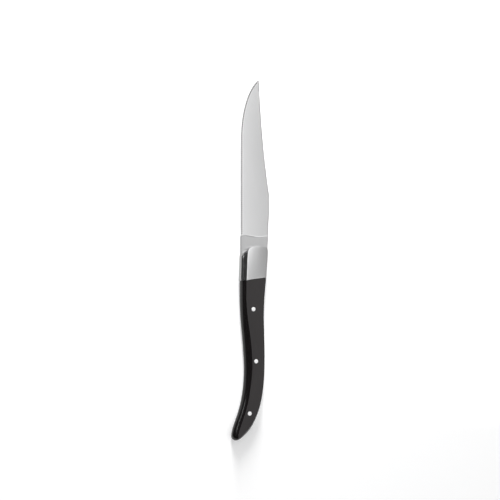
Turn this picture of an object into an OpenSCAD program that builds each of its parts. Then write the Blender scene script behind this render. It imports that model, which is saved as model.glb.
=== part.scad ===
// Steak knife lying on its side: blade with a fine-toothed edge, two bolster
// cheeks, two black handle scales closed over a hidden tang, and three rivets.
// +Y points to the tip, -X to the cutting edge, and +Z up through the thickness.

/* [Overall] */
// Length from the tip to the end of the handle
total_l = 230; // [215:1:250]
// Thickness between the two broad faces of the handle
body_t = 10; // [8.5:0.5:13]

/* [Blade] */
// Length of blade in front of the bolster
blade_l = 105.8; // [96:0.2:120]
// Height from the edge line up to the hump of the spine
blade_h = 19.5; // [17.5:0.1:21]
// How far the edge line lies below the long axis
edge_drop = 6.7; // [6:0.1:7.2]
// Height of the tip above the edge line
tip_h = 12.6; // [10:0.1:14]
// Length of the curved stretch of edge behind the tip
curve_l = 36; // [26:1:44]
// Distance from the tip back to the hump
hump_l = 73.2; // [62:0.2:80]
// Length of the level stretch behind the hump
hump_flat_l = 11; // [6:0.5:14]
// How far the spine falls from the hump to the bolster
heel_drop = 1.2; // [0.4:0.1:1.6]
// Length of the unground stretch between bolster and grind
ricasso_l = 6.2; // [4:0.1:10]
// Thickness of the unground steel
plate_t = 2.5; // [2:0.1:3]
// Thickness of the spine where the grind starts
spine_t = 2.2; // [1.6:0.1:2.8]
// Thickness of the spine at the tip
tip_t = 1; // [0.6:0.1:1.4]
// Thickness of the cutting edge itself
edge_t = 0.08; // [0.05:0.01:0.15]
// Thickness where the edge bevel starts
shoulder_t = 0.5; // [0.3:0.05:0.9]
// Width of the edge bevel
bevel_w = 1.5; // [0.8:0.1:2.2]
// Length of the curved run-out of the grind
plunge_l = 1.4; // [1:0.1:3]
// How far the line where the grind starts waves to and fro
plunge_wave = 0.5; // [0:0.1:0.8]
// How far the ground faces bow out between edge and spine
grind_bow = 0.1; // [0:0.02:0.2]
// Chamfer along the corners of the spine
spine_chamfer = 0.25; // [0.1:0.05:0.4]

/* [Teeth] */
// Distance from one tooth to the next
tooth_pitch = 1.25; // [1:0.05:2.5]
// Depth of the hollows between the teeth
tooth_depth = 0.3; // [0.15:0.05:0.5]

/* [Bolster] */
// Length of the bolster on the long axis
bolster_l = 21.5; // [17:0.5:26]
// Nominal width of the bolster, from which its outline's shares are taken
bolster_w = 13.6; // [12.6:0.1:14.6]
// How far the belly side of the bolster swells out
belly_crown = 2.9; // [2:0.1:3.4]
// How far the spine side of the bolster swells out
spine_crown = 2.5; // [1.6:0.1:2.8]
// Slant of the joint between bolster and handle, in degrees
joint_tilt = 6.3; // [0:0.1:10]
// How far the front of the bolster swells out
front_crown = 0.3; // [0.1:0.05:0.6]
// How far the bolster's broad faces fall away towards belly and spine
face_bow = 0.3; // [0.1:0.05:0.5]
// Bevel on the rear edge of the bolster's broad faces
bolster_bevel = 0.5; // [0.2:0.1:0.9]

/* [Handle] */
// Width of the flat broad face of the handle at its front
grip_w = 13; // [12:0.1:14]
// How far the handle swells out past its flat at the tail
tail_crown = 1.3; // [0.8:0.1:1.8]
// Height of the tang at the bolster
tang_w = 8.4; // [6:0.1:9]
// Height of the tang at its rear end
tang_end_w = 5.2; // [4.4:0.1:6]
// How far the tang runs on behind the rear rivet
tang_tail_l = 3.5; // [2.4:0.1:5]
// Room left round the tang inside the scales
tang_fit = 0.1; // [0.05:0.05:0.3]

/* [Rivets] */
// Diameter of a rivet
rivet_d = 2.8; // [2.2:0.1:3.4]
// Room between a rivet and its bores
rivet_fit = 0.03; // [0.02:0.01:0.08]
// Bevel round both ends of a rivet
rivet_bevel = 0.15; // [0.05:0.05:0.3]

/* [Hidden] */

// How far a cutting shape runs past what it cuts
overrun = 20;
// How far the swelled forms stand above the broad faces before these are cut
skim = 0.02;
// Smallest swell that a side is worked out with
least_swell = 0.001;
// Facets round a rivet and its bores, and round the bolster's bow
round_fn = 48;
barrel_fn = 360;
// Points on each stretch of a smooth outline, and of the bolster's
smooth_steps = 4;
bolster_steps = 3;
// Layers in the swell of the handle and bolster
crown_layers = 12;
// How strongly the layers crowd towards the flat faces, as an angle
arc_spread = 50;
// Points on the curved edge of the blade
edge_steps = 28;
// Points on the run-out of the grind
plunge_steps = 6;
// Points on the hollow of one tooth
tooth_steps = 4;

mid_z = body_t / 2;
tip_y = total_l / 2;
bolster_y = tip_y - blade_l;
joint_y = bolster_y - bolster_l;
tail_y = -total_l / 2;
flat_l = joint_y - tail_y - tail_crown;
plunge_y = bolster_y + ricasso_l;
hump_y = tip_y - hump_l;
level_y = hump_y - hump_flat_l;
curve_y = tip_y - curve_l;
tip_x = tip_h - edge_drop;
hump_x = blade_h - edge_drop;
heel_x = hump_x - heel_drop;
face_r = (pow(bolster_w / 2, 2) + pow(face_bow, 2)) / (2 * face_bow);

// Handles of the curved edge: shares of curve_l forward and of tip_h up
edge_curve_shares = [[0, 0], [0.45, 0.02], [0.88, 0.42], [1, 1]];
// Share of the spine's rise that lies in its straight part
spine_line_share = 0.36;
// Largest share of the blade's height that the edge bevel takes near the tip
bevel_share = 0.6;
// Points across a ground face, from shoulder to spine
face_shares = [0, 0.14, 0.3, 0.46, 0.62, 0.78, 1];
// Wave of the grind's start at edge, face points and spine: shares of plunge_wave
wave_shares = [0.2, 0.8, 0.85, 0.35, -0.5, -1, -0.5, 0.75, 0.85];
// Fall of the spine behind the hump's level stretch, on the way to the
// bolster: shares of that length, and of heel_drop
heel_shares = [[0, 0], [0.22, 0.2], [0.42, 0.58], [0.8, 0.68], [1, 1]];
// Broad face of the bolster, from the spine's rear end round the front to the
// belly's rear end: shares of its length ahead of the joint and of bolster_w
// across, then of the side's crown and of front_crown that it swells out
bolster_shares = [
    [-0.3, 0.57, 1, 0],
    [0, 0.6, 1, 0],
    [0.34, 0.638, 1, 0],
    [0.57, 0.667, 1, 0],
    [0.8, 0.683, 1, 0],
    [0.895, 0.686, 0.96, 0],
    [0.938, 0.672, 0.75, 0.3],
    [0.968, 0.63, 0.4, 0.8],
    [0.986, 0.54, 0.12, 1],
    [0.997, 0.42, 0, 1],
    [1, 0.27, 0, 1],
    [0.996, 0.12, 0, 1],
    [0.984, -0.03, 0, 1],
    [0.966, -0.12, 0, 0.9],
    [0.944, -0.178, 0, 0.6],
    [0.917, -0.217, 0, 0.3],
    [0.888, -0.246, 0, 0.1],
    [0.856, -0.268, -0.17, 0],
    [0.812, -0.282, -0.5, 0],
    [0.768, -0.291, -0.84, 0],
    [0.725, -0.298, -1.02, 0],
    [0.66, -0.306, -1.04, 0],
    [0.55, -0.314, -1.03, 0],
    [0.3, -0.333, -1, 0],
    [0, -0.352, -1, 0],
    [-0.3, -0.362, -1, 0]
];
// Flat face of the handle, down the belly side and up the spine side: shares
// of flat_l behind the joint, of grip_w across, and of half body_t swelled out
grip_shares = [
    [-0.08, -0.372, 0.4],
    [0.05, -0.383, 0.38],
    [0.125, -0.385, 0.38],
    [0.198, -0.346, 0.43],
    [0.282, -0.262, 0.54],
    [0.361, -0.162, 0.64],
    [0.449, -0.085, 0.7],
    [0.538, -0.048, 0.7],
    [0.606, -0.082, 0.63],
    [0.695, -0.172, 0.54],
    [0.778, -0.293, 0.53],
    [0.853, -0.467, 0.53],
    [0.926, -0.682, 0.53],
    [0.966, -0.785, 0.49],
    [0.986, -0.821, 0.42],
    [0.998, -0.8, 0.32],
    [0.9985, -0.74, 0.27],
    [0.988, -0.63, 0.32],
    [0.966, -0.465, 0.42],
    [0.931, -0.222, 0.46],
    [0.87, 0.068, 0.46],
    [0.786, 0.32, 0.46],
    [0.693, 0.461, 0.46],
    [0.593, 0.532, 0.46],
    [0.495, 0.548, 0.46],
    [0.342, 0.528, 0.46],
    [0.227, 0.508, 0.46],
    [0.116, 0.54, 0.46],
    [0.03, 0.6, 0.46],
    [-0.08, 0.685, 0.46]
];
// Highest line of the bolster's broad faces: share of bolster_w across
face_centre_share = 0.16;
// Rivet centres: shares of flat_l behind the joint and of grip_w across
rivet_shares = [[0.187, 0], [0.515, 0.143], [0.844, -0.204]];
// Tang's centre line at the joint: share of grip_w across
tang_start_share = 0.1;

// Point on a cubic curve through four handles
function bezier(p, t) = pow(1 - t, 3) * p[0]
    + 3 * pow(1 - t, 2) * t * p[1]
    + 3 * (1 - t) * t * t * p[2]
    + pow(t, 3) * p[3];

// Direction at a point of an open list, weighted by the distances beside it
function slope_at(p, i) =
    let (
        last = len(p) - 1,
        a = p[max(i - 1, 0)],
        b = p[i],
        c = p[min(i + 1, last)],
        ab = norm(b - a),
        bc = norm(c - b)
    )
    i == 0 ? (c - b) / bc :
    i == last ? (b - a) / ab :
    ((c - b) / bc * ab + (b - a) / ab * bc) / (ab + bc);

// Smooth open curve through a list of points of any dimension
function smooth_path(p, steps) = [
    for (i = [0 : len(p) - 2])
        let (
            d = norm(p[i + 1] - p[i]),
            m = slope_at(p, i) * d,
            n = slope_at(p, i + 1) * d
        )
        for (k = [0 : i == len(p) - 2 ? steps : steps - 1])
            let (t = k / steps)
            (2 * pow(t, 3) - 3 * t * t + 1) * p[i]
                + (pow(t, 3) - 2 * t * t + t) * m
                + (3 * t * t - 2 * pow(t, 3)) * p[i + 1]
                + (pow(t, 3) - t * t) * n
];

// Outward direction at each point of an outline that runs down the belly side
// and up the spine side
function outward(p, i) =
    let (
        a = p[max(i - 1, 0)],
        b = p[min(i + 1, len(p) - 1)],
        d = [b[0] - a[0], b[1] - a[1]]
    )
    [d[1], -d[0]] / norm(d);

// Share of a side's full swell at a height above mid-height. The side is an
// arc that meets the flat faces at a crease.
function arc_swell(depth, half, z) =
    let (r = (half * half + depth * depth) / (2 * max(depth, least_swell)))
    (sqrt(r * r - z * z) - r + depth) / max(depth, least_swell);

// Solid whose broad faces follow an outline and whose sides swell out by the
// given reach at mid-height. At each point the swell ends at its own height
// from mid-height, and above that the side stands straight.
module crowned(outline, reach, halves) {
    n = len(outline);
    top = mid_z + 2 * skim;
    grades = [
        for (k = [0 : crown_layers])
            sin(arc_spread * (2 * k / crown_layers - 1)) / sin(arc_spread)
    ];
    swell_layers = [
        for (g = grades)
            [
                for (i = [0 : n - 1])
                    let (
                        z = halves[i] * g,
                        out = reach[i] * arc_swell(norm(reach[i]), halves[i], z)
                    )
                    [outline[i][0] + out[0], outline[i][1] + out[1], mid_z + z]
            ]
    ];
    layers = concat(
        [[for (p = outline) [p[0], p[1], mid_z - top]]],
        swell_layers,
        [[for (p = outline) [p[0], p[1], mid_z + top]]]
    );
    last = len(layers) - 1;
    side_faces = [
        for (k = [0 : last - 1])
            for (i = [0 : n - 1])
                let (j = (i + 1) % n)
                each [
                    [k * n + i, (k + 1) * n + i, (k + 1) * n + j],
                    [k * n + i, (k + 1) * n + j, k * n + j]
                ]
    ];
    bottom_face = [for (i = [0 : n - 1]) i];
    top_face = [for (i = [n - 1 : -1 : 0]) last * n + i];
    polyhedron([for (l = layers) each l], concat(side_faces, [bottom_face, top_face]), convexity = 6);
}

// Everything between two heights
module slab(z0, z1) {
    translate([-total_l / 2, -total_l, z0])
        cube([total_l, 2 * total_l, z1 - z0]);
}

// Everything behind the slanted joint
module behind_joint() {
    translate([0, joint_y, mid_z])
        rotate([0, 0, joint_tilt])
            translate([-total_l / 2, -total_l, -body_t])
                cube([total_l, total_l, 2 * body_t]);
}

// Everything ahead of the slanted joint, bevelled at the broad faces
module ahead_of_joint() {
    front = bolster_l + overrun;
    translate([0, joint_y, 0])
        rotate([0, 0, joint_tilt])
            translate([-total_l / 2, 0, 0])
                rotate([90, 0, 90])
                    linear_extrude(total_l)
                        polygon([
                            [bolster_bevel + skim, -skim],
                            [front, -skim],
                            [front, body_t + skim],
                            [bolster_bevel + skim, body_t + skim],
                            [0, body_t - bolster_bevel],
                            [0, bolster_bevel]
                        ]);
}

// Whole swelled form of the handle, before it is split
module handle_form() {
    flat_points = [
        for (s = grip_shares)
            [s[1] * grip_w, joint_y - s[0] * flat_l, s[2] * mid_z]
    ];
    path = smooth_path(flat_points, smooth_steps);
    outline = [for (p = path) [p[0], p[1]]];
    reach = [for (i = [0 : len(path) - 1]) outward(path, i) * path[i][2]];
    intersection() {
        crowned(outline, reach, [for (p = path) mid_z + skim]);
        slab(0, body_t);
        behind_joint();
    }
}

// Whole swelled form of the bolster, before it is split
module bolster_form() {
    face_l = bolster_l - front_crown;
    path = smooth_path(
        [
            for (s = bolster_shares)
                [
                    s[1] * bolster_w,
                    joint_y + s[0] * face_l,
                    s[2] * (s[2] > 0 ? spine_crown : belly_crown),
                    s[3] * front_crown
                ]
        ],
        bolster_steps
    );
    outline = [for (p = path) [p[0], p[1]]];
    reach = [for (p = path) [p[2], p[3]]];
    intersection() {
        crowned(outline, reach, [for (p = path) mid_z - face_fall(p[0]) + skim]);
        ahead_of_joint();
    }
}

// How far the bolster's broad faces have fallen at a place across
function face_fall(x) =
    face_r - sqrt(pow(face_r, 2) - pow(x - face_centre_share * bolster_w, 2));

// Barrel whose round side gives the bolster's broad faces their bow
module face_barrel(top_z) {
    centre_z = top_z > mid_z ? top_z - face_r : top_z + face_r;
    translate([face_centre_share * bolster_w, joint_y, centre_z])
        rotate([90, 0, 0])
            cylinder(h = 3 * bolster_l, r = face_r, center = true, $fn = barrel_fn);
}

// Centre of a rivet on the broad face
function rivet_at(i) = [
    rivet_shares[i][1] * grip_w,
    joint_y - rivet_shares[i][0] * flat_l
];

// Bores for all three rivets
module rivet_bores() {
    for (i = [0 : 2])
        translate([rivet_at(i)[0], rivet_at(i)[1], -overrun])
            cylinder(h = body_t + 2 * overrun, d = rivet_d + 2 * rivet_fit, $fn = round_fn);
}

// Outline of the tang, grown on all sides by some room
module tang_outline(room) {
    rear = rivet_at(2);
    drift = rear - rivet_at(1);
    centre_points = [
        [tang_start_share * grip_w, joint_y + bolster_bevel * 2],
        rivet_at(0),
        rivet_at(1),
        rear,
        rear + drift / norm(drift) * (tang_tail_l + room)
    ];
    path = smooth_path(centre_points, smooth_steps);
    last = len(path) - 1;
    sides = [
        for (i = [0 : last])
            let (half = (tang_w + (tang_end_w - tang_w) * i / last) / 2 + room)
            [path[i] - outward(path, i) * half, path[i] + outward(path, i) * half]
    ];
    polygon(concat(
        [for (i = [0 : last]) sides[i][0]],
        [for (i = [last : -1 : 0]) sides[i][1]]
    ));
}

// Height of the spine above the long axis, at a place between tip and hump
function spine_x(y) =
    let (t = (tip_y - y) / hump_l)
    tip_x + (hump_x - tip_x) * (spine_line_share * t + (1 - spine_line_share) * t * t);

// Place and height of the spine at one of its points behind the hump
function heel_point(s) = [
    level_y + (bolster_y - level_y) * s[0],
    hump_x + (heel_x - hump_x) * s[1]
];

// Point on the curved stretch of the edge
function edge_at(t) =
    let (p = bezier(edge_curve_shares, t))
    [p[1] * tip_h - edge_drop, curve_y + p[0] * curve_l];

// Smooth cutting edge from the grind's start to the tip
edge_path = concat(
    [[-edge_drop, plunge_y + plunge_l]],
    [for (k = [0 : edge_steps]) edge_at(k / edge_steps)]
);
// Distance travelled along the edge, beside each of its points
edge_run = [
    for (
        i = 0, run = 0;
        i < len(edge_path);
        run = run + (i < len(edge_path) - 1 ? norm(edge_path[i + 1] - edge_path[i]) : 0),
        i = i + 1
    )
    run
];
edge_x_by_run = [for (i = [0 : len(edge_path) - 1]) [edge_run[i], edge_path[i][0]]];
edge_y_by_run = [for (i = [0 : len(edge_path) - 1]) [edge_run[i], edge_path[i][1]]];
function edge_point(run) = [lookup(run, edge_x_by_run), lookup(run, edge_y_by_run)];

// Toothed edge: a pointed crest and a round hollow, over and over to the tip
edge_length = edge_run[len(edge_run) - 1];
tooth_count = floor((edge_length - tooth_pitch) / tooth_pitch);
function toothed_edge() = [
    for (i = [0 : tooth_count - 1])
        for (k = [0 : tooth_steps - 1])
            let (
                run = (i + k / tooth_steps) * tooth_pitch,
                here = edge_point(run),
                ahead = edge_point(run + tooth_pitch / tooth_steps),
                along = (ahead - here) / norm(ahead - here),
                depth = tooth_depth * sin(180 * k / tooth_steps)
            )
            here + [along[1], -along[0]] * depth
];

// Outline of the blade and ricasso seen from above
module blade_outline() {
    spine_stations = [for (k = [1 : edge_steps]) hump_y + hump_l * (1 - k / edge_steps)];
    polygon(concat(
        [[-edge_drop, bolster_y - bolster_l / 2]],
        toothed_edge(),
        [[tip_x, tip_y]],
        [for (y = spine_stations) [spine_x(y), y]],
        [for (s = heel_shares) [heel_point(s)[1], heel_point(s)[0]]],
        [[heel_x, bolster_y - bolster_l / 2]]
    ));
}

// One section across the blade, out along its lower side and back along its
// upper side: edge, shoulder, bowed face, chamfered spine. The wave shifts its
// points along the blade.
function section(y, edge_x, back_x, edge_half, shoulder_half, back_half, bevel, bow = 0, wave = 0) =
    let (
        shoulder_x = edge_x + bevel,
        face_w = back_x - spine_chamfer - shoulder_x,
        side = concat(
            [[edge_x, edge_half]],
            [
                for (f = face_shares)
                    [
                        shoulder_x + face_w * f,
                        shoulder_half + (back_half - shoulder_half) * f + 4 * bow * f * (1 - f)
                    ]
            ],
            [[back_x, back_half - spine_chamfer]]
        )
    )
    concat(
        [
            for (i = [0 : len(side) - 1])
                [side[i][0], y + wave * wave_shares[i], mid_z - side[i][1]]
        ],
        [
            for (i = [len(side) - 1 : -1 : 0])
                [side[i][0], y + wave * wave_shares[i], mid_z + side[i][1]]
        ]
    );

// Height of the spine at any place on the blade
function back_x(y) = y > hump_y ? spine_x(y) : lookup(y, [for (s = heel_shares) heel_point(s)]);

// Thickness of the spine, thinning evenly from the grind to the tip
function back_t(y) = spine_t + (tip_t - spine_t) * max(0, y - plunge_y) / (tip_y - plunge_y);

// Thickness of the blade: unground plate, hollow run-out, then a long wedge
module blade_thickness() {
    corner_half = plate_t / 2 - spine_chamfer;
    plate_sections = [
        for (s = [[bolster_y - bolster_l / 2, 0], [bolster_y, 0], [plunge_y, plunge_wave]])
            section(
                s[0], -edge_drop, back_x(s[0]),
                corner_half, plate_t / 2, plate_t / 2, spine_chamfer, 0, s[1]
            )
    ];
    plunge_sections = [
        for (k = [1 : plunge_steps])
            let (
                t = k / plunge_steps,
                fall = sin(90 * t),
                y = plunge_y + plunge_l * (1 - cos(90 * t)),
                mix = function (unground, ground) unground + (ground - unground) * fall
            )
            section(
                y, -edge_drop, back_x(y),
                mix(corner_half, edge_t / 2), mix(plate_t, shoulder_t) / 2,
                mix(plate_t, back_t(y)) / 2, mix(spine_chamfer, bevel_w),
                grind_bow * fall, plunge_wave
            )
    ];
    straight_y = [
        heel_point(heel_shares[1])[0],
        level_y,
        hump_y,
        hump_y + (curve_y - hump_y) / 4,
        hump_y + (curve_y - hump_y) / 2,
        hump_y + (curve_y - hump_y) * 3 / 4
    ];
    straight_sections = [
        for (y = straight_y)
            if (y > plunge_y + plunge_l + 2 * plunge_wave)
                section(
                    y, -edge_drop, back_x(y),
                    edge_t / 2, shoulder_t / 2, back_t(y) / 2, bevel_w, grind_bow
                )
    ];
    curve_sections = [
        for (k = [0 : edge_steps - 1])
            let (
                p = edge_at(k / edge_steps),
                q = edge_at((k + 1) / edge_steps),
                lean = norm(q - p) / (q[1] - p[1]),
                width = spine_x(p[1]) - p[0],
                bevel = min(bevel_w * lean, width * bevel_share)
            )
            section(
                p[1], p[0], spine_x(p[1]),
                edge_t / 2, shoulder_t / 2, back_t(p[1]) / 2, bevel,
                grind_bow * min(1, width / blade_h)
            )
    ];
    tip_section = section(
        tip_y, tip_x - 2 * spine_chamfer, tip_x + spine_chamfer,
        edge_t / 2, edge_t, spine_chamfer + edge_t, spine_chamfer
    );
    sections = concat(
        plate_sections, plunge_sections, straight_sections, curve_sections, [tip_section]
    );
    n = len(sections[0]);
    last = len(sections) - 1;
    polyhedron(
        [for (s = sections) each s],
        concat(
            [
                for (k = [0 : last - 1])
                    for (i = [0 : n - 1])
                        let (j = (i + 1) % n)
                        each [
                            [k * n + i, (k + 1) * n + j, (k + 1) * n + i],
                            [k * n + i, k * n + j, (k + 1) * n + j]
                        ]
            ],
            [
                for (i = [0 : n / 2 - 2])
                    let (across = [i, n - 1 - i, n - 2 - i, i + 1])
                    each [across, [for (k = [3 : -1 : 0]) last * n + across[k]]]
            ]
        ),
        convexity = 6
    );
}

// One steel piece: ground blade, ricasso, plate inside the bolster, and tang
module blade() {
    plate_low = mid_z - plate_t / 2;
    plate_high = mid_z + plate_t / 2;
    color("silver")
        difference() {
            union() {
                intersection() {
                    blade_thickness();
                    translate([0, 0, -body_t])
                        linear_extrude(3 * body_t) blade_outline();
                }
                intersection() {
                    bolster_form();
                    slab(plate_low, plate_high);
                }
                translate([0, 0, plate_low])
                    linear_extrude(plate_t) tang_outline(0);
            }
            rivet_bores();
        }
}

// Polished cheek on one side of the steel plate
module bolster_half(z0, z1, face_z) {
    color("lightgrey")
        intersection() {
            bolster_form();
            slab(z0, z1);
            face_barrel(face_z);
        }
}

module bolster_lower() {
    bolster_half(-skim, mid_z - plate_t / 2, 0);
}

module bolster_upper() {
    bolster_half(mid_z + plate_t / 2, body_t + skim, body_t);
}

// Black scale on one side, hollowed for its half of the tang
module scale_half(z0, z1) {
    pocket_t = plate_t + 2 * tang_fit;
    color("#1c1a1a")
        difference() {
            intersection() {
                handle_form();
                slab(z0, z1);
            }
            translate([0, 0, mid_z - pocket_t / 2])
                linear_extrude(pocket_t) tang_outline(tang_fit);
            rivet_bores();
        }
}

module scale_lower() {
    scale_half(0, mid_z);
}

module scale_upper() {
    scale_half(mid_z, body_t);
}

// Pin through both scales and the tang, finished flush with the broad faces
module rivet(i) {
    r = rivet_d / 2;
    color("gainsboro")
        translate([rivet_at(i)[0], rivet_at(i)[1], 0])
            rotate_extrude($fn = round_fn)
                polygon([
                    [0, 0],
                    [r - rivet_bevel, 0],
                    [r, rivet_bevel],
                    [r, body_t - rivet_bevel],
                    [r - rivet_bevel, body_t],
                    [0, body_t]
                ]);
}

module front_rivet() {
    rivet(0);
}

module middle_rivet() {
    rivet(1);
}

module rear_rivet() {
    rivet(2);
}

blade();
bolster_lower();
bolster_upper();
scale_lower();
scale_upper();
front_rivet();
middle_rivet();
rear_rivet();
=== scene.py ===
import math

import bmesh
import bpy
from mathutils import Matrix, Vector


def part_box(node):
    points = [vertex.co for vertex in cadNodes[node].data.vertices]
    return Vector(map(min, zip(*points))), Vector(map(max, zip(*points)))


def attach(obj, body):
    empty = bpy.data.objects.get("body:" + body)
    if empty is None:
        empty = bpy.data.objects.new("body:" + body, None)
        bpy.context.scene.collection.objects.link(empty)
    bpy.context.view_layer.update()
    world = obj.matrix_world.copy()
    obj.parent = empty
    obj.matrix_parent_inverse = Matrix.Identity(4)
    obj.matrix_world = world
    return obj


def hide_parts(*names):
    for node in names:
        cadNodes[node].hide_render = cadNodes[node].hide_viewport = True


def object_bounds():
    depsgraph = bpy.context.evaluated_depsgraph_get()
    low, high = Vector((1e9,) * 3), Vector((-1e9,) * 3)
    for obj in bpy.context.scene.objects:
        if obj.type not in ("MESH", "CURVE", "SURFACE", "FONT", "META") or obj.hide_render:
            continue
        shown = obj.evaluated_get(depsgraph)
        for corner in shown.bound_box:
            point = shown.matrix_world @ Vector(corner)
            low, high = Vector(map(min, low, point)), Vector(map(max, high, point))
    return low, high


# Steak knife lying on its side: +Y to the tip, -X to the cutting edge, +Z up
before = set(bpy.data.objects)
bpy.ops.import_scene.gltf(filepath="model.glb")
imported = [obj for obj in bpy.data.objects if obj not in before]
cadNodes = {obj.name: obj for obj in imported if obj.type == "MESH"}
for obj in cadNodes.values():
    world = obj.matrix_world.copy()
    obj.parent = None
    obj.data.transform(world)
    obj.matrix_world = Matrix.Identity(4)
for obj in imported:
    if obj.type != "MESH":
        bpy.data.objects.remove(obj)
cadLow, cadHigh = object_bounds()
scene = bpy.context.scene
mm = 0.001

# shared limits: lengths in mm, angles in degrees, how upright a face's normal is, and a modifier's weight
meshLimits = {
    "weld": 0.003, "flatTurn": 0.3, "cutSnap": 0.0001,
    "broadFrom": 0.98, "turnedUpTo": 0.95, "creaseTurn": 16.0, "evenWeight": 50,
}


def limited(value):
    return min(1.0, max(0.0, value))


def blend(low, high, share):
    return low + (high - low) * share


def addObject(name, bm, material):
    mesh = bpy.data.meshes.new(name)
    bm.to_mesh(mesh)
    bm.free()
    mesh.materials.append(material)
    thing = bpy.data.objects.new(name, mesh)
    scene.collection.objects.link(thing)
    return thing


def addPiece(name, bm, material, slotName, *standsFor):
    piece = addObject(name, bm, material)
    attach(piece, "root")
    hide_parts(*standsFor)
    return piece


def weldedCopy(nodeName):
    # the node's loose triangles as one shell with whole flat faces
    bm = bmesh.new()
    bm.from_mesh(cadNodes[nodeName].data)
    bmesh.ops.remove_doubles(bm, verts=bm.verts, dist=meshLimits["weld"] * mm)
    bmesh.ops.dissolve_limit(bm, angle_limit=math.radians(meshLimits["flatTurn"]),
                             verts=bm.verts, edges=bm.edges)
    return bm


def crossCut(bm, y, clearOuter=False):
    # cuts through everything, square to the knife's length
    everything = bm.verts[:] + bm.edges[:] + bm.faces[:]
    return bmesh.ops.bisect_plane(bm, geom=everything, dist=meshLimits["cutSnap"] * mm,
                                  plane_co=(0, y, 0), plane_no=(0, 1, 0), clear_outer=clearOuter)


def smoothByAngle(bm, degrees):
    limit = math.radians(degrees)
    for face in bm.faces:
        face.smooth = True
    for edge in bm.edges:
        edge.smooth = len(edge.link_faces) == 2 and edge.calc_face_angle(0) < limit


def roundEdges(bm, edges, radius, segments):
    made = bmesh.ops.bevel(bm, geom=edges, offset=radius, offset_type="OFFSET", segments=segments,
                           profile=0.5, affect="EDGES", clamp_overlap=True, material=-1)
    return made["faces"]


def isCrease(edge):
    # where a broad face turns into a side, a bevel or a bore
    upright = sorted(abs(face.normal.z) for face in edge.link_faces)
    if len(upright) != 2 or upright[1] <= meshLimits["broadFrom"] or upright[0] >= meshLimits["turnedUpTo"]:
        return False
    return edge.calc_face_angle(0) > math.radians(meshLimits["creaseTurn"])


def outerCrease(bm, faceHeight, reach):
    # only the creases of the outer broad face, not those of the hidden inner one
    return [e for e in bm.edges
            if isCrease(e) and all(abs(v.co.z - faceHeight) < reach for v in e.verts)]


def markWearAndPaintedLight(bm, wornAndPaintedFaces):
    # 1 on rubbed edges that also carry painted light, 0 elsewhere, read by the materials
    wearAndPaintedLight = bm.loops.layers.float_color.new("wearAndPaintedLight")
    wornAndPaintedLight = set(wornAndPaintedFaces)
    for face in bm.faces:
        value = 1.0 if face in wornAndPaintedLight else 0.0
        for loop in face.loops:
            loop[wearAndPaintedLight] = (value, value, value, 1.0)


def evenNormals(piece):
    # keeps the flat faces flat where they run into a rounded edge
    modifier = piece.modifiers.new("evenNormals", "WEIGHTED_NORMAL")
    modifier.mode = "FACE_AREA"
    modifier.weight = meshLimits["evenWeight"]
    modifier.keep_sharp = True


# Materials: those of the pieces start from their own object's coordinates

# sockets of the mix node for each kind of value: first, second, result
mixSockets = {"FLOAT": (2, 3, 0), "RGBA": (6, 7, 2)}


def newMaterial(name):
    material = bpy.data.materials.new(name)
    material.use_nodes = True
    return material, material.node_tree.nodes, material.node_tree.links


def startMaterial(name):
    material, nodes, links = newMaterial(name)
    place = nodes.new("ShaderNodeTexCoord")
    return material, nodes, links, nodes["Principled BSDF"], place.outputs["Object"]


def setInputs(node, values):
    for name, value in values.items():
        node.inputs[name].default_value = value


def splitPlace(nodes, links, place):
    parts = nodes.new("ShaderNodeSeparateXYZ")
    links.new(place, parts.inputs["Vector"])
    return parts.outputs


def stretchedNoise(nodes, links, place, scale, detail=4.0, roughness=0.55):
    mapping = nodes.new("ShaderNodeMapping")
    mapping.inputs["Scale"].default_value = scale
    noise = nodes.new("ShaderNodeTexNoise")
    setInputs(noise, {"Scale": 1.0, "Detail": detail, "Roughness": roughness})
    links.new(place, mapping.inputs["Vector"])
    links.new(mapping.outputs["Vector"], noise.inputs["Vector"])
    return noise.outputs["Fac"]


def spread(nodes, links, value, low, high, fromLow=0.25, fromHigh=0.75):
    ranged = nodes.new("ShaderNodeMapRange")
    setInputs(ranged, {"From Min": fromLow, "From Max": fromHigh, "To Min": low, "To Max": high})
    links.new(value, ranged.inputs["Value"])
    return ranged.outputs["Result"]


def mathNode(nodes, links, operation, first, second):
    node = nodes.new("ShaderNodeMath")
    node.operation = operation
    for socket, value in zip(node.inputs, (first, second)):
        if isinstance(value, (int, float)):
            socket.default_value = value
        else:
            links.new(value, socket)
    return node.outputs["Value"]


def mixValues(nodes, links, factor, first, second, kind="RGBA"):
    node = nodes.new("ShaderNodeMix")
    node.data_type = kind
    firstAt, secondAt, resultAt = mixSockets[kind]
    for at, value in ((firstAt, first), (secondAt, second)):
        if isinstance(value, tuple):
            node.inputs[at].default_value = (*value, 1.0)
        else:
            links.new(value, node.inputs[at])
    links.new(factor, node.inputs[0])
    return node.outputs[resultAt]


def readMask(nodes, layerName):
    mask = nodes.new("ShaderNodeVertexColor")
    mask.layer_name = layerName
    return mask.outputs["Color"]


def addBump(nodes, links, height, depth, shader):
    bump = nodes.new("ShaderNodeBump")
    setInputs(bump, {"Distance": depth, "Strength": 1.0})
    links.new(height, bump.inputs["Height"])
    links.new(bump.outputs["Normal"], shader.inputs["Normal"])


steelSizes = {"lineDetail": 6.0, "lineRoughness": 0.7, "lineShade": 0.35, "cloudedRoughness": 0.015}


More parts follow.
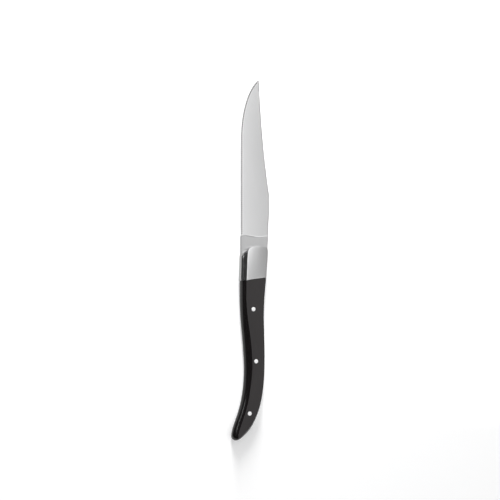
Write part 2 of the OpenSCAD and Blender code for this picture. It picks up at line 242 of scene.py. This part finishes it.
def steel(name, dull, bright, wornAndPaintedLight, roughness, brush, brushDepth, blotch, ground=None, metallic=1.0):
    # ground or polished steel: fine brush lines, slow clouding, and edges coloured for wear and painted light
    s = steelSizes
    material, nodes, links, shader, place = startMaterial(name)
    shader.inputs["Metallic"].default_value = metallic
    lines = stretchedNoise(nodes, links, place, brush, detail=s["lineDetail"], roughness=s["lineRoughness"])
    clouds = stretchedNoise(nodes, links, place, blotch)
    shade = mixValues(nodes, links, spread(nodes, links, clouds, 0.0, 1.0), dull, bright)
    shade = mixValues(nodes, links, spread(nodes, links, lines, 0.0, s["lineShade"]), shade, dull)
    # marked edges: wear, and painted light (lighter creases on the bolster, a darker painted rim of shade on
    # the rivets)
    shade = mixValues(nodes, links, readMask(nodes, "wearAndPaintedLight"), shade, wornAndPaintedLight)
    if ground:
        # painted shade: the hollows between the teeth are coloured darker for the shade in them
        shade = mixValues(nodes, links, readMask(nodes, "hollows"), shade, ground)
    links.new(shade, shader.inputs["Base Color"])
    clouded = spread(nodes, links, clouds, -s["cloudedRoughness"], s["cloudedRoughness"])
    rough = mathNode(nodes, links, "ADD", spread(nodes, links, lines, *roughness), clouded)
    links.new(rough, shader.inputs["Roughness"])
    addBump(nodes, links, lines, brushDepth, shader)
    return material


# ground is the colour of the painted shade in the hollows between the teeth
bladeSteel = steel("satinBladeSteel", dull=(0.73, 0.73, 0.735), bright=(0.78, 0.78, 0.785),
                   wornAndPaintedLight=(0.84, 0.84, 0.84), roughness=(0.2, 0.27), brush=(300.0, 9000.0, 300.0),
                   brushDepth=0.0000012, blotch=(45.0, 30.0, 45.0), ground=(0.08, 0.078, 0.078))
bolsterSteel = steel("polishedBolsterSteel", dull=(0.77, 0.77, 0.775), bright=(0.81, 0.81, 0.815),
                     wornAndPaintedLight=(0.9, 0.9, 0.9), roughness=(0.13, 0.19), brush=(6000.0, 400.0, 6000.0),
                     brushDepth=0.0000006, blotch=(60.0, 50.0, 60.0))
rivetSteel = steel("rivetSteel", dull=(0.95, 0.95, 0.95), bright=(0.99, 0.99, 0.99),
                   wornAndPaintedLight=(0.8, 0.8, 0.8), roughness=(0.5, 0.62), brush=(2500.0, 2500.0, 2500.0),
                   brushDepth=0.000001, blotch=(400.0, 400.0, 400.0), metallic=0.4)

# depth in metres, heights in mm, the rest as scales and shares
blackSizes = {
    "refraction": 1.56, "grain": (2600.0, 2600.0, 2600.0), "grainDetail": 3.0, "grainDepth": 0.000004,
    "rubs": (900.0, 60.0, 900.0), "rubDetail": 5.0, "rubRoughness": 0.65, "clouds": (70.0, 40.0, 70.0),
    "middle": 5.0, "sideUpTo": 4.88, "broadFrom": 4.97, "rubbedAndPaintedLight": 0.5,
}


def mouldedBlack(name, base, greyed, polishedAndShadedSide, wornAndPaintedLight, broadRoughness, sideRoughness):
    # black handle: fine matt grain on the broad faces; smoother rounded sides, coloured darker as painted
    # shade
    s = blackSizes
    material, nodes, links, shader, place = startMaterial(name)
    shader.inputs["IOR"].default_value = s["refraction"]
    grain = stretchedNoise(nodes, links, place, s["grain"], detail=s["grainDetail"])
    rubs = stretchedNoise(nodes, links, place, s["rubs"], detail=s["rubDetail"], roughness=s["rubRoughness"])
    clouds = stretchedNoise(nodes, links, place, s["clouds"])
    height = splitPlace(nodes, links, place)["Z"]
    fromMiddle = mathNode(nodes, links, "SUBTRACT", height, s["middle"] * mm)
    fromMiddle = mathNode(nodes, links, "ABSOLUTE", fromMiddle, 0.0)
    broad = spread(nodes, links, fromMiddle, 0.0, 1.0, s["sideUpTo"] * mm, s["broadFrom"] * mm)
    shade = mixValues(nodes, links, spread(nodes, links, clouds, 0.0, 1.0), base, greyed)
    # painted shade: the rounded sides are coloured darker than the broad faces
    shade = mixValues(nodes, links, broad, polishedAndShadedSide, shade)
    # the marked crease is lighter: partly rubbed, partly a painted highlight
    rubbedAndPaintedLight = mathNode(nodes, links, "MULTIPLY", readMask(nodes, "wearAndPaintedLight"), s["rubbedAndPaintedLight"])
    shade = mixValues(nodes, links, rubbedAndPaintedLight, shade, wornAndPaintedLight)
    links.new(shade, shader.inputs["Base Color"])
    rough = mixValues(nodes, links, broad, spread(nodes, links, rubs, *sideRoughness),
                      spread(nodes, links, rubs, *broadRoughness), kind="FLOAT")
    links.new(rough, shader.inputs["Roughness"])
    addBump(nodes, links, mathNode(nodes, links, "MULTIPLY", grain, broad), s["grainDepth"], shader)
    return material


handleBlack = mouldedBlack("handleBlack", base=(0.0135, 0.0113, 0.0115), greyed=(0.0185, 0.016, 0.0163),
                           polishedAndShadedSide=(0.0065, 0.0054, 0.0056), wornAndPaintedLight=(0.03, 0.0285, 0.0285),
                           broadRoughness=(0.36, 0.48), sideRoughness=(0.14, 0.22))


# Blade: ground steel from just ahead of the bolster to the tip, then the plate and tang

bladeSizes = {
    "rear": 9.3, "tip": 115.0, "edgeDrop": 6.7, "height": 19.5, "tipHeight": 12.6, "middle": 5.0,
    "curveLength": 36.0, "curvePoints": 400,
    "humpBack": 73.2, "humpLevel": 11.0, "heelDrop": 1.2, "heelEnd": 9.2, "spineTaper": 0.36,
    "grindStart": 14.8, "runOut": 1.4, "wave": 0.5, "edgeWave": 0.25, "waveFadeEnd": 26.05,
    "plate": 2.5, "spineThick": 2.2, "tipThick": 1.0, "edgeThick": 0.08, "shoulderThick": 0.5,
    "tipThinning": 0.25, "thinningFrom": 0.78, "grindBow": 0.1, "pointHalf": 0.2,
    "bevel": 1.5, "bevelShare": 0.6, "chamfer": 0.25, "edgeChamfer": 0.07, "spineChamfer": 0.5,
    "chamferShare": 0.25, "chamferDepth": 0.6,
    "toothPitch": 1.25, "toothDepth": 0.3, "darkReach": 1.15, "darkFade": 0.3, "toothSlack": 0.01,
    "plateColumns": 14, "runOutColumns": 10, "columnsPerTooth": 8,
    "weld": 0.0005, "slack": 0.02, "smoothing": 28,
}
edgeHandles = ((0.0, 0.0), (0.45, 0.02), (0.88, 0.42), (1.0, 1.0))   # shares of curve length and tip height
heelStops = ((0.0, 0.0), (0.22, 0.2), (0.42, 0.58), (0.8, 0.68), (1.0, 1.0))
waveStops = ((0.0, 0.8), (0.14, 0.85), (0.3, 0.35), (0.46, -0.5), (0.62, -1.0), (0.78, -0.5), (1.0, 0.75))
bevelStops = (0.0, 1 / 6, 0.3, 0.45, 0.65, 0.85, 1.0)                # rows across the edge bevel
faceStops = (0.07, 0.14, 0.22, 0.3, 0.38, 0.46, 0.54, 0.62, 0.7, 0.78, 0.89, 1.0)   # bevel to spine


def onCurve(handles, t):
    weights = ((1 - t) ** 3, 3 * t * (1 - t) ** 2, 3 * t * t * (1 - t), t ** 3)
    return [sum(w * h[k] for w, h in zip(weights, handles)) for k in (0, 1)]


def between(stops, share):
    for (a, low), (b, high) in zip(stops, stops[1:]):
        if share <= b:
            return low + (high - low) * (share - a) / (b - a)
    return stops[-1][1]


def eased(stops, share):
    # like between, but without corners at the stops
    for (a, low), (b, high) in zip(stops, stops[1:]):
        if share <= b:
            t = (share - a) / (b - a)
            return low + (high - low) * t * t * (3 - 2 * t)
    return stops[-1][1]


def spineAt(s, y):
    hump = s["tip"] - s["humpBack"]
    top = s["height"] - s["edgeDrop"]
    if y > hump:
        t = (s["tip"] - y) / s["humpBack"]
        return blend(s["tipHeight"] - s["edgeDrop"], top, s["spineTaper"] * t + (1 - s["spineTaper"]) * t * t)
    level = hump - s["humpLevel"]
    if y > level:
        return top
    return top - s["heelDrop"] * between(heelStops, (level - y) / (level - s["heelEnd"]))


def edgeLine(s):
    start = s["tip"] - s["curveLength"]
    line = [Vector((-s["edgeDrop"], s["rear"]))]
    for k in range(s["curvePoints"] + 1):
        along, up = onCurve(edgeHandles, k / s["curvePoints"])
        line.append(Vector((up * s["tipHeight"] - s["edgeDrop"], start + along * s["curveLength"])))
    return line


def bladeColumns(s):
    # places along the edge, each with the way into the blade from there
    line = edgeLine(s)
    runs = [0.0]
    for a, b in zip(line, line[1:]):
        runs.append(runs[-1] + (b - a).length)
    grind = s["grindStart"] - s["rear"]
    toothed = grind + s["runOut"]
    teeth = int((runs[-1] - toothed) / s["toothPitch"]) - 1
    step = s["toothPitch"] / s["columnsPerTooth"]
    turn = math.pi / (2 * s["runOutColumns"])
    places = [grind * k / s["plateColumns"] for k in range(s["plateColumns"])]
    places += [grind + s["runOut"] * (1 - math.cos(turn * k)) for k in range(s["runOutColumns"])]
    places += [toothed + step * k for k in range(int((runs[-1] - toothed) / step))]
    places.append(runs[-1])
    columns, k = [], 0
    for run in places:
        while k < len(runs) - 2 and runs[k + 1] < run:
            k += 1
        way = (line[k + 1] - line[k]).normalized()
        point = line[k] + way * (run - runs[k])
        inward = Vector((way.y, -way.x))
        cut = 0.0
        if 0 < run - toothed < teeth * s["toothPitch"]:
            cut = s["toothDepth"] * abs(math.sin(math.pi * (run - toothed) / s["toothPitch"]))
        isToothed = toothed - s["toothSlack"] < run < toothed + teeth * s["toothPitch"]
        columns.append((point, inward, cut, isToothed))
    return columns


def waveAt(s, y, share):
    # how far the grind's start is shifted along the blade, fading out to both sides
    if y < s["grindStart"]:
        strength = (y - s["heelEnd"]) / (s["grindStart"] - s["heelEnd"])
    else:
        ground = s["grindStart"] + s["runOut"]
        strength = 1 - (y - ground) / (s["waveFadeEnd"] - ground)
    return s["wave"] * eased(waveStops, share) * limited(strength)


def bladePoint(s, place, kind, share):
    # where a row crosses a column: spot, shift along the blade, half the thickness, painted shade of the
    # hollow
    edge, inward, cut, isToothed = place
    back = spineAt(s, edge.y)
    width = max(0.0, back - edge.x)
    # how far the grind has bitten into the full plate here
    fall = math.sqrt(1 - (1 - limited((edge.y - s["grindStart"]) / s["runOut"])) ** 2)
    bevel = min(blend(s["edgeChamfer"], s["bevel"], fall), s["bevelShare"] * width * inward.x)
    along = max(0.0, edge.y - s["grindStart"]) / (s["tip"] - s["grindStart"])
    nearTip = max(0.0, (along - s["thinningFrom"]) / (1 - s["thinningFrom"]))
    backHalf = blend(s["spineThick"], s["tipThick"], along) / 2
    backHalf -= s["tipThinning"] * nearTip ** 2
    plateHalf = s["plate"] / 2
    dark = 0.0
    if kind == "bevel":
        spot = edge + inward * (cut + (bevel - cut) * share)
        ground = blend(s["edgeThick"] / 2, s["shoulderThick"] / 2, share)
        plateHalf -= s["edgeChamfer"] * (1 - share)
        shift = waveAt(s, edge.y, 0.0) * blend(s["edgeWave"], 1, share)
        # painted shade in the hollows between the teeth, fading away from the edge
        if isToothed:
            near = (s["darkReach"] - cut - (bevel - cut) * share) / s["darkFade"]
            dark = limited(near) * cut / s["toothDepth"]
    elif kind == "face":
        chamfer = min(blend(s["chamfer"], s["spineChamfer"], fall), s["chamferShare"] * width)
        spot = blend(edge + inward * bevel, Vector((back - chamfer, edge.y)), share)
        ground = (blend(s["shoulderThick"] / 2, backHalf, share)
                  + s["grindBow"] * 4 * share * (1 - share) * min(1.0, width / s["height"]))
        shift = waveAt(s, edge.y, share)
    else:
        spot = Vector((back, edge.y))
        ground = backHalf - min(s["spineChamfer"], s["chamferDepth"] * backHalf)
        plateHalf -= s["chamfer"]
        shift = waveAt(s, edge.y, 1.0)
    return spot, shift, blend(plateHalf, ground, fall), dark


def buildGroundBlade(s):
    columns = bladeColumns(s)
    rows = [("bevel", f) for f in bevelStops] + [("face", f) for f in faceStops] + [("spine", 1.0)]
    bm = bmesh.new()
    hollows = bm.verts.layers.float_color.new("hollows")
    bmesh.ops.create_grid(bm, x_segments=len(columns) - 1, y_segments=len(rows) - 1, size=1)
    columnOf = {x: i for i, x in enumerate(sorted({round(v.co.x, 6) for v in bm.verts}))}
    rowOf = {y: i for i, y in enumerate(sorted({round(v.co.y, 6) for v in bm.verts}))}
    grown = bmesh.ops.extrude_face_region(bm, geom=bm.faces[:], use_keep_orig=True)
    upper = {v for v in grown["geom"] if isinstance(v, bmesh.types.BMVert)}
    onShoulder = set()
    for v in bm.verts:
        column, row = columnOf[round(v.co.x, 6)], rowOf[round(v.co.y, 6)]
        edge = columns[column][0]
        spot, shift, half, dark = bladePoint(s, columns[column], *rows[row])
        if column == len(columns) - 1:
            spot, half = Vector((edge.x, edge.y)), s["pointHalf"]
        v.co = (spot.x, spot.y + shift, s["middle"] + (half if v in upper else -half))
        v[hollows] = (dark, dark, dark, 1.0)
        if row == len(bevelStops) - 1 and edge.y > s["grindStart"]:
            onShoulder.add(v)
    bmesh.ops.remove_doubles(bm, verts=bm.verts, dist=s["weld"])
    bmesh.ops.recalc_face_normals(bm, faces=bm.faces)
    smoothByAngle(bm, s["smoothing"])
    for edge in bm.edges:
        if edge.verts[0] in onShoulder and edge.verts[1] in onShoulder:
            edge.smooth = False
    bmesh.ops.scale(bm, vec=(mm, mm, mm), verts=bm.verts)
    return bm


def buildPlate(s):
    # plate between the cheeks and the tang, cut off square where the ground blade begins
    bm = weldedCopy("blade")
    cut = crossCut(bm, s["rear"] * mm, clearOuter=True)
    rim = [e for e in cut["geom_cut"] if isinstance(e, bmesh.types.BMEdge)]
    bmesh.ops.contextual_create(bm, geom=rim)
    # the chamfers on the edge side narrow to the ground blade's
    slack, sharper = s["slack"], s["chamfer"] - s["edgeChamfer"]
    for v in bm.verts:
        inFrom, height = v.co.x / mm + s["edgeDrop"], abs(v.co.z / mm - s["middle"])
        if abs(inFrom - s["chamfer"]) < slack and abs(height - s["plate"] / 2) < slack:
            v.co.x -= sharper * mm
        elif abs(inFrom) < slack and abs(height - s["plate"] / 2 + s["chamfer"]) < slack:
            v.co.z += math.copysign(sharper * mm, v.co.z - s["middle"] * mm)
    smoothByAngle(bm, s["smoothing"])
    hollows = bm.verts.layers.float_color.new("hollows")
    for v in bm.verts:
        v[hollows] = (0.0, 0.0, 0.0, 1.0)
    return bm


groundBlade = buildGroundBlade(bladeSizes)
markWearAndPaintedLight(groundBlade, [])
bladePiece = addPiece("groundBlade", groundBlade, bladeSteel, "blade_steel", "blade")
plate = buildPlate(bladeSizes)
markWearAndPaintedLight(plate, [])
platePiece = addPiece("plateAndTang", plate, bladeSteel, "blade_steel", "blade")
evenNormals(platePiece)
print("blade made:", len(bladePiece.data.polygons), "faces")


# Bolster cheeks: polished, flatter at the joint and rounder at the front, with softly rounded creases

bolsterSizes = {
    "front": 9.2, "joint": -12.3, "pastJoint": 1.2, "width": 13.6, "plateHalf": 1.25, "middle": 5.0,
    "cadBow": 0.3, "cadCentre": 2.18, "bow": 0.36, "frontCentre": 3.0, "jointCentre": -2.4,
    "jointBowShare": 0.4, "bowRows": 12, "bowReach": 0.6,
    "creaseRadius": 0.9, "creaseSegments": 6, "rearBevel": 0.36, "slanted": 0.5, "smoothing": 24,
}


def flattenBow(bm, s):
    # the CAD bow is the same all along; here it flattens out and turns towards the joint
    low = s["joint"] - s["pastJoint"]
    for k in range(1, s["bowRows"]):
        crossCut(bm, (low + (s["front"] - low) * k / s["bowRows"]) * mm)
    for v in bm.verts:
        x, y, height = v.co.x / mm, v.co.y / mm, v.co.z / mm - s["middle"]
        along = limited((y - s["joint"]) / (s["front"] - s["joint"]))
        centre = blend(s["jointCentre"], s["frontCentre"], along)
        share = blend(s["jointBowShare"], 1, along)
        cadFall = s["cadBow"] * ((x - s["cadCentre"]) * 2 / s["width"]) ** 2
        fall = s["bow"] * share * ((x - centre) * 2 / s["width"]) ** 2
        full = s["middle"] - s["plateHalf"]
        outward = abs(height) - s["plateHalf"]
        grown = s["plateHalf"] + outward * (full - fall) / (full - cadFall)
        v.co.z = (s["middle"] + math.copysign(grown, height)) * mm


def facesBack(edge):
    return min(face.normal.y for face in edge.link_faces) < -bolsterSizes["slanted"]


def buildCheek(nodeName, faceHeight):
    s = bolsterSizes
    bm = weldedCopy(nodeName)
    crease = outerCrease(bm, faceHeight, s["bowReach"] * mm)
    roundEdges(bm, [e for e in crease if facesBack(e)], s["rearBevel"] * mm, 1)
    flattenBow(bm, s)
    bm.normal_update()
    crease = outerCrease(bm, faceHeight, s["bowReach"] * mm)
    ahead = [e for e in crease if not facesBack(e)]
    rounded = roundEdges(bm, ahead, s["creaseRadius"] * mm, s["creaseSegments"])
    bm.normal_update()
    strip = [f for f in bm.faces if f.normal.y < -s["slanted"] and abs(f.normal.z) > s["slanted"]]
    smoothByAngle(bm, s["smoothing"])
    for face in strip:
        for edge in face.edges:
            edge.smooth = False
    # painted highlight, partly wear: the rounded creases and the rear strip are marked to be coloured lighter
    markWearAndPaintedLight(bm, [f for f in rounded if f.is_valid] + strip)
    return bm


for nodeName, faceHeight in (("bolster_upper", cadHigh.z), ("bolster_lower", cadLow.z)):
    addPiece(nodeName.replace("bolster_", "bolsterCheek_"), buildCheek(nodeName, faceHeight),
             bolsterSteel, "bolster_steel", nodeName)
print("bolster made")


# Handle scales: black, with a rounded crease round the broad faces and eased rivet bores

scaleSizes = {
    "creaseRadius": 0.28, "creaseSegments": 3, "boreEasing": 0.19, "boreReach": 1.6,
    "faceReach": 0.02, "smoothing": 24,
}
rivetNodes = ("front_rivet", "middle_rivet", "rear_rivet")
rivetSpots = [(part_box(name)[0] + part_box(name)[1]) / 2 for name in rivetNodes]


def nearRivet(edge):
    return any((v.co.xy - spot.xy).length < scaleSizes["boreReach"] * mm
               for v in edge.verts for spot in rivetSpots)


def buildScale(nodeName, faceHeight):
    s = scaleSizes
    bm = weldedCopy(nodeName)
    bores = [e for e in outerCrease(bm, faceHeight, s["faceReach"] * mm) if nearRivet(e)]
    roundEdges(bm, bores, s["boreEasing"] * mm, 1)
    crease = [e for e in outerCrease(bm, faceHeight, s["faceReach"] * mm) if not nearRivet(e)]
    rounded = roundEdges(bm, crease, s["creaseRadius"] * mm, s["creaseSegments"])
    smoothByAngle(bm, s["smoothing"])
    # the rounded crease is marked: coloured lighter, partly as rubbing and partly as a painted highlight
    markWearAndPaintedLight(bm, rounded)
    return bm


for nodeName, faceHeight in (("scale_upper", cadHigh.z), ("scale_lower", cadLow.z)):
    scale = addPiece(nodeName.replace("scale_", "handleScale_"), buildScale(nodeName, faceHeight),
                     handleBlack, "handle_black", nodeName)
    evenNormals(scale)
print("handle scales made")


# Rivets: turned pins, barely domed, with an eased rim

rivetSizes = {
    "dome": 0.05, "domeOut": 0.45, "domeDrop": 0.25, "easing": 0.16, "rimIn": 0.3, "rimDrop": 0.35,
    "steps": 48, "weld": 0.0005, "rimUpTo": 0.9, "smoothing": 30,
}


def buildRivet(nodeName, s):
    low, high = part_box(nodeName)
    centre = (low + high) / 2
    radius = (high.x - low.x) / 2
    dome, easing = s["dome"] * mm, s["easing"] * mm
    half = (high.z - low.z) / 2
    profile = [(0.0, half), (s["domeOut"] * radius, half - s["domeDrop"] * dome),
               (radius - easing, half - dome),
               (radius - s["rimIn"] * easing, half - dome - s["rimDrop"] * easing),
               (radius, half - dome - easing)]
    profile += [(r, -z) for r, z in reversed(profile)]
    bm = bmesh.new()
    ring = [bm.verts.new((centre.x + r, centre.y, centre.z + z)) for r, z in profile]
    line = [bm.edges.new(pair) for pair in zip(ring, ring[1:])]
    bmesh.ops.spin(bm, geom=ring + line, cent=centre, axis=(0, 0, 1), angle=math.tau,
                   steps=s["steps"], use_merge=True)
    bmesh.ops.remove_doubles(bm, verts=bm.verts, dist=s["weld"] * mm)
    bmesh.ops.recalc_face_normals(bm, faces=bm.faces)
    rims = [f for f in bm.faces if abs(f.normal.z) < s["rimUpTo"]
            and abs(f.calc_center_median().z - centre.z) > half - dome - easing]
    smoothByAngle(bm, s["smoothing"])
    # painted shade: the eased rims are marked to be coloured darker, a dark ring round each head
    markWearAndPaintedLight(bm, rims)
    return bm


for nodeName in rivetNodes:
    addPiece(nodeName.replace("_rivet", "RivetPin"), buildRivet(nodeName, rivetSizes), rivetSteel,
             "rivet_steel", nodeName)
print("rivets made")


# Stage: a pale floor, and a black flag, cards, an arch of light and a low strip that only shine reflects

stageSizes = {
    "floor": 3.0, "floorDrop": 0.00005, "floorGrey": 0.86, "floorRoughness": 0.9, "floorShine": 0.1,
    "halfLength": 0.9, "cardHeight": 0.0003, "cardNear": -0.001, "cardFront": 0.0175, "cardGlow": 0.6,
    "spineCardNear": 0.0165, "spineCardFar": 0.5,
    "flagHeight": 0.0004, "flagNear": -0.0175, "flagFar": -0.5, "flagTop": 2.0, "flagFront": 2.0,
    "flagGrey": 0.04,
    "archRadius": 0.7, "archStart": 77.0, "archEnd": 150.0, "archRear": -0.5, "archFront": 0.9,
    "archSteps": 36, "archGlow": 1.4,
    "stripAcross": -0.49, "stripLow": 0.002, "stripHigh": 0.045, "stripRear": 0.07, "stripFront": 0.2,
    "stripGlow": 4.5,
}
# strength of the arch by how far it has come over, in degrees up from the cutting edge's side
archStops = ((77.0, 1.0), (98.0, 1.0), (103.0, 0.87), (105.0, 0.82), (107.0, 0.75), (110.0, 0.63),
             (112.0, 0.55), (115.0, 0.51), (120.0, 0.41), (125.0, 0.35), (150.0, 0.35))
# its strength along the knife, by y
alongStops = ((-0.13, 0.44), (-0.01, 0.92), (0.03, 0.93), (0.07, 1.0), (0.1, 1.0), (0.14, 0.85),
              (0.25, 0.62))
# how brightly the floor glows, by y: painted light that whitens the shade beside the handle, weaker round the
# shadow behind the tail so that it shows darker
floorStops = ((-0.108, 0.2), (-0.095, 0.34))
# cards on the spine's side, each up to its y: darker for the handle and the blade's spine
spineCards = (("handleCard", -0.0135, 0.13), ("bolsterCard", 0.01, 0.4),
              ("spineCard", stageSizes["halfLength"], 0.1))


def addStage(name, bm, material):
    thing = addObject(name, bm, material)
    return thing


def addReflected(name, bm, material):
    # seen in shine alone
    thing = addStage(name, bm, material)
    thing.visible_camera = False
    thing.visible_diffuse = False
    thing.visible_shadow = False
    thing.visible_transmission = False


def sweptSheet(points, alongY):
    # sheet from a line of (x, z) points, drawn out from one y to another
    bm = bmesh.new()
    line = [bm.verts.new((x, alongY[0], z)) for x, z in points]
    edges = [bm.edges.new(pair) for pair in zip(line, line[1:])]
    swept = bmesh.ops.extrude_edge_only(bm, edges=edges)
    bmesh.ops.translate(bm, vec=(0, alongY[1] - alongY[0], 0),
                        verts=[v for v in swept["geom"] if isinstance(v, bmesh.types.BMVert)])
    return bm


def addCard(name, alongX, alongY, material):
    # a flat card just over the floor, between two x and two y
    addReflected(name, sweptSheet([(x, stageSizes["cardHeight"]) for x in alongX], alongY), material)


def rampOver(nodes, links, value, stops):
    # grey by place, through the given stops
    ramp = nodes.new("ShaderNodeValToRGB")
    low, high = stops[0][0], stops[-1][0]
    while len(ramp.color_ramp.elements) < len(stops):
        ramp.color_ramp.elements.new(0.5)
    for element, (at, strength) in zip(ramp.color_ramp.elements, stops):
        element.position = (at - low) / (high - low)
        element.color = (strength, strength, strength, 1.0)
    links.new(spread(nodes, links, value, 0.0, 1.0, low, high), ramp.inputs["Fac"])
    return ramp.outputs["Color"]


def seenRays(nodes, links):
    # 1 for what the camera sees, also in shine and through glass, and 0 for light on other things
    path = nodes.new("ShaderNodeLightPath")
    seen = mathNode(nodes, links, "MAXIMUM", path.outputs["Is Camera Ray"], path.outputs["Is Glossy Ray"])
    return mathNode(nodes, links, "MAXIMUM", seen, path.outputs["Is Transmission Ray"])


def setMatt(shader, grey, roughness, shine):
    setInputs(shader, {"Base Color": (grey, grey, grey, 1.0), "Roughness": roughness,
                       "Specular IOR Level": shine})


def floorMaterial(s):
    # pale paper that reads white to the camera and in reflections, and still takes the shadow; its glow by y
    # is painted light
    material, nodes, links, shader, place = startMaterial("palePaper")
    setMatt(shader, s["floorGrey"], s["floorRoughness"], s["floorShine"])
    strength = rampOver(nodes, links, splitPlace(nodes, links, place)["Y"], floorStops)
    glow = nodes.new("ShaderNodeEmission")
    links.new(mathNode(nodes, links, "MULTIPLY", seenRays(nodes, links), strength), glow.inputs["Strength"])
    both = nodes.new("ShaderNodeAddShader")
    links.new(shader.outputs["BSDF"], both.inputs[0])
    links.new(glow.outputs["Emission"], both.inputs[1])
    links.new(both.outputs["Shader"], nodes["Material Output"].inputs["Surface"])
    return material


def flagMaterial(s):
    material, nodes, links = newMaterial("flagBlack")
    setMatt(nodes["Principled BSDF"], s["flagGrey"], 1.0, 0.0)
    return material


def startGlow(name, strength):
    material, nodes, links = newMaterial(name)
    glow = nodes.new("ShaderNodeEmission")
    glow.inputs["Strength"].default_value = strength
    links.new(glow.outputs["Emission"], nodes["Material Output"].inputs["Surface"])
    return material, nodes, links, glow


def plainGlow(name, strength):
    return startGlow(name, strength)[0]


def archMaterial(s):
    # light that falls off over the arch, from the cutting edge's side to the spine's
    material, nodes, links, glow = startGlow("archOfLight", s["archGlow"])
    parts = splitPlace(nodes, links, nodes.new("ShaderNodeTexCoord").outputs["Object"])
    acrossStops = [(-s["archRadius"] * math.cos(math.radians(angle)), strength)
                   for angle, strength in archStops]
    across = rampOver(nodes, links, parts["X"], acrossStops)
    along = rampOver(nodes, links, parts["Y"], alongStops)
    links.new(mixValues(nodes, links, along, (0.0, 0.0, 0.0), across), glow.inputs["Color"])
    return material


def archLine(s):
    angles = [math.radians(s["archStart"] + (s["archEnd"] - s["archStart"]) * k / s["archSteps"])
              for k in range(s["archSteps"] + 1)]
    return [(-s["archRadius"] * math.cos(a), s["archRadius"] * math.sin(a)) for a in angles]


def buildStage(s):
    floor = bmesh.new()
    bmesh.ops.create_grid(floor, x_segments=1, y_segments=1, size=s["floor"] / 2)
    bmesh.ops.translate(floor, vec=(0, 0, -s["floorDrop"]), verts=floor.verts)
    addStage("floor", floor, floorMaterial(s))

    flagBlack = flagMaterial(s)
    flagLine = ((s["flagNear"], s["flagHeight"]), (s["flagFar"], s["flagHeight"]),
                (s["flagFar"], s["flagTop"]))
    addReflected("sideFlag", sweptSheet(flagLine, (-s["halfLength"], s["flagFront"])), flagBlack)
    addReflected("lightArch", sweptSheet(archLine(s), (s["archRear"], s["archFront"])), archMaterial(s))

    belly = (s["cardNear"], s["flagNear"])
    addCard("greyCard", belly, (-s["halfLength"], s["cardFront"]), plainGlow("greyCard", s["cardGlow"]))
    addCard("frontFlag", belly, (s["cardFront"], s["flagFront"]), flagBlack)
    start = -s["halfLength"]
    for name, end, strength in spineCards:
        addCard(name, (s["spineCardNear"], s["spineCardFar"]), (start, end), plainGlow(name, strength))
        start = end

    stripLine = ((s["stripAcross"], s["stripLow"]), (s["stripAcross"], s["stripHigh"]))
    addReflected("lowStrip", sweptSheet(stripLine, (s["stripRear"], s["stripFront"])),
                 plainGlow("stripOfLight", s["stripGlow"]))


buildStage(stageSizes)
print("stage made")


# Light: a softbox beyond the tip that casts the shadow, a weak one overhead, a glint for the line
# where the grind starts, and the pale room

def addSoftbox(name, place, target, width, height, radiance, lean=0.0):
    light = bpy.data.lights.new(name, "AREA")
    light.shape = "RECTANGLE"
    light.size, light.size_y = width, height
    light.energy = radiance * math.pi * width * height
    lamp = bpy.data.objects.new(name, light)
    ahead = (Vector(target) - Vector(place)).normalized()
    upright = Vector((lean, 0, 1))
    upright = (upright - ahead * upright.dot(ahead)).normalized()
    lamp.rotation_euler = Matrix((upright.cross(-ahead), upright, -ahead)).transposed().to_euler()
    lamp.location = place
    lamp.visible_camera = False
    scene.collection.objects.link(lamp)
    return lamp


# leans along with its own direction, so that the shadow's sides run straight behind the knife
tipEnd = addSoftbox("tipEndSoftbox", place=(-0.185, 0.85, 0.42), target=(0, -0.12, 0),
                    width=0.12, height=0.7, radiance=42.0, lean=-0.44)
tipEnd.visible_glossy = False
overhead = addSoftbox("overheadFill", place=(-0.1, 0, 0.8), target=(0, 0, 0),
                      width=1.2, height=1.2, radiance=1.15)
overhead.visible_glossy = False
overhead.data.use_shadow = False
glint = addSoftbox("grindGlint", place=(0.299, 0.247, 0.588), target=(0, 0.016, 0.006),
                   width=0.22, height=0.14, radiance=1.15)
glint.visible_diffuse = False

roomSizes = {"colour": (0.97, 0.98, 1.0, 1.0), "strength": 0.17, "paperStrength": 1.0}


def lightRoom(world, s):
    # weak light on things, white where the camera sees past them
    world.use_nodes = True
    nodes, links = world.node_tree.nodes, world.node_tree.links
    room = nodes["Background"]
    setInputs(room, {"Color": s["colour"], "Strength": s["strength"]})
    paper = nodes.new("ShaderNodeBackground")
    paper.inputs["Strength"].default_value = s["paperStrength"]
    either = nodes.new("ShaderNodeMixShader")
    links.new(seenRays(nodes, links), either.inputs[0])
    links.new(room.outputs["Background"], either.inputs[1])
    links.new(paper.outputs["Background"], either.inputs[2])
    links.new(either.outputs["Shader"], nodes["World Output"].inputs["Surface"])


scene.world = bpy.data.worlds.new("paleStudio")
lightRoom(scene.world, roomSizes)
print("lights made")


# Camera: square on to the long axis and rolled towards the cutting edge

cameraSizes = {
    "roll": 25.0, "viewWidth": 0.319, "alongY": 6.51, "acrossX": -0.22, "height": 5.0, "distance": 1.0,
}
roll = math.radians(cameraSizes["roll"])
right = Vector((math.cos(roll), 0, math.sin(roll)))
back = Vector((-math.sin(roll), 0, math.cos(roll)))
aim = Vector((0, cameraSizes["alongY"], cameraSizes["height"])) * mm + right * cameraSizes["acrossX"] * mm
cameraData = bpy.data.cameras.new("camera")
cameraData.type = "ORTHO"
cameraData.ortho_scale = cameraSizes["viewWidth"]
camera = bpy.data.objects.new("camera", cameraData)
camera.matrix_world = Matrix.Translation(aim + back * cameraSizes["distance"]) @ Matrix((
    (right.x, 0, back.x, 0), (right.y, 1, back.y, 0), (right.z, 0, back.z, 0), (0, 0, 0, 1)))
scene.collection.objects.link(camera)
scene.camera = camera
scene.view_settings.view_transform = "Standard"
